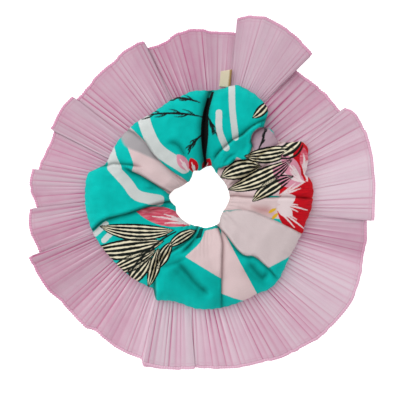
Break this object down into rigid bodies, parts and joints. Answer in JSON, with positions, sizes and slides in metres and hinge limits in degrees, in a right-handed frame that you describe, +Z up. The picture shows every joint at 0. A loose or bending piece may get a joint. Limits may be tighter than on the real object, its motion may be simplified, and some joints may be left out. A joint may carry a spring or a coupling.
{
  "type": "scrunchie",
  "caption": "Gathered printed-cotton hair scrunchie with a pleated pink frill sewn into its outer seam and a small folded label that flips up.",
  "frame": {"origin": "bottom centre of the bounding box, on the surface that the scrunchie lies on", "axes": "+Z up through the ring's hole; +Y towards the raised fold of the frill and the label's side"},
  "size_m": [0.1734, 0.1776, 0.0218],
  "materials": {
    "printed_cotton": "matt plain-weave cotton with a bold multicolour print",
    "pleated_voile": "fine pleated voile, soft sheen, slightly sheer",
    "hem_thread": "fine overlock stitches",
    "seam_thread": "spun polyester sewing thread",
    "elastic": "knitted over rubber cores, matt",
    "elastic_thread": "spun polyester sewing thread",
    "label_tape": "woven tape with a darker selvedge"
  },
  "bodies": {
    "ring": {"fabric_cover": "printed_cotton", "pleated_frill": "pleated_voile", "frill_hem_thread": "hem_thread", "seam_thread": "seam_thread", "closing_stitches": "seam_thread", "elastic_band": "elastic", "elastic_join_stitches": "elastic_thread"},
    "label": {"woven_label": "label_tape"}
  },
  "joints": [
    {"name": "label_flip", "type": "hinge", "parent": "ring", "child": "label", "pos_m": [0.01106, 0.05348, 0.01047], "axis": [0.9945, -0.1045, 0], "range_deg": [0, 65]}
  ]
}
